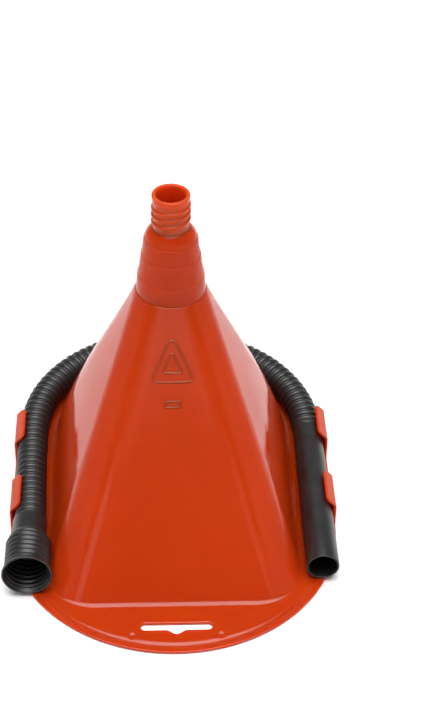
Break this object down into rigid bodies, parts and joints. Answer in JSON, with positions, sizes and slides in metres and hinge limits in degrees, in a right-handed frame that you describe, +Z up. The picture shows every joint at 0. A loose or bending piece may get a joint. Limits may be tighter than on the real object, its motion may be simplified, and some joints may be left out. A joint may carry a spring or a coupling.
{
  "type": "fuel funnel",
  "caption": "Oblong plastic funnel standing mouth down, with a threaded spout, a flexible filling hose clipped round its cone, and a hanging slot in its rim.",
  "frame": {"origin": "middle of the flange's outline, on the mouth plane that the funnel stands on", "axes": "+Z up along the neck, from the mouth towards the spout; -Y towards the end with the hanging slot; +X towards the smooth outlet tube"},
  "size_m": [0.2003, 0.2784, 0.184],
  "materials": {
    "orange_polypropylene": "glossy, moulded",
    "black_polyethylene": "satin, moulded"
  },
  "bodies": {
    "funnel": {"rim_flange": "orange_polypropylene", "funnel_bowl": "orange_polypropylene", "stepped_neck": "orange_polypropylene", "threaded_spout": "orange_polypropylene", "hose": "black_polyethylene"},
    "outlet_tube": {"outlet_tube": "black_polyethylene"},
    "screw_cuff": {"screw_cuff": "black_polyethylene"},
    "clip_front_left": {"clip_front_left": "orange_polypropylene"},
    "clip_front_right": {"clip_front_right": "orange_polypropylene"},
    "clip_rear_left": {"clip_rear_left": "orange_polypropylene"},
    "clip_rear_right": {"clip_rear_right": "orange_polypropylene"},
    "clip_far": {"clip_far": "orange_polypropylene"}
  },
  "joints": [
    {"name": "clip_front_left_flex", "type": "hinge", "parent": "funnel", "child": "clip_front_left", "pos_m": [-0.099, -0.025, 0.0016], "axis": [0, -1, 0], "range_deg": [0, 12], "stiffness_Nm_per_rad": 0.05},
    {"name": "clip_front_right_flex", "type": "hinge", "parent": "funnel", "child": "clip_front_right", "pos_m": [0.099, -0.025, 0.0016], "axis": [0, 1, 0], "range_deg": [0, 12], "stiffness_Nm_per_rad": 0.05},
    {"name": "clip_rear_left_flex", "type": "hinge", "parent": "funnel", "child": "clip_rear_left", "pos_m": [-0.099, 0.0362, 0.0016], "axis": [0, -1, 0], "range_deg": [0, 12], "stiffness_Nm_per_rad": 0.05},
    {"name": "clip_rear_right_flex", "type": "hinge", "parent": "funnel", "child": "clip_rear_right", "pos_m": [0.099, 0.0362, 0.0016], "axis": [0, 1, 0], "range_deg": [0, 12], "stiffness_Nm_per_rad": 0.05},
    {"name": "clip_far_flex", "type": "hinge", "parent": "funnel", "child": "clip_far", "pos_m": [0, 0.13925, 0.0016], "axis": [-1, 0, 0], "range_deg": [0, 12], "stiffness_Nm_per_rad": 0.05},
    {"name": "outlet_tube_swing", "type": "hinge", "parent": "funnel", "child": "outlet_tube", "pos_m": [0.087, 0.03705, 0.0118], "axis": [-0.7071, 0, -0.7071], "range_deg": [0, 6.5]},
    {"name": "screw_cuff_lift", "type": "hinge", "parent": "funnel", "child": "screw_cuff", "pos_m": [-0.0864, -0.0474, 0.0251], "axis": [-1, 0, 0], "range_deg": [0, 12]}
  ]
}
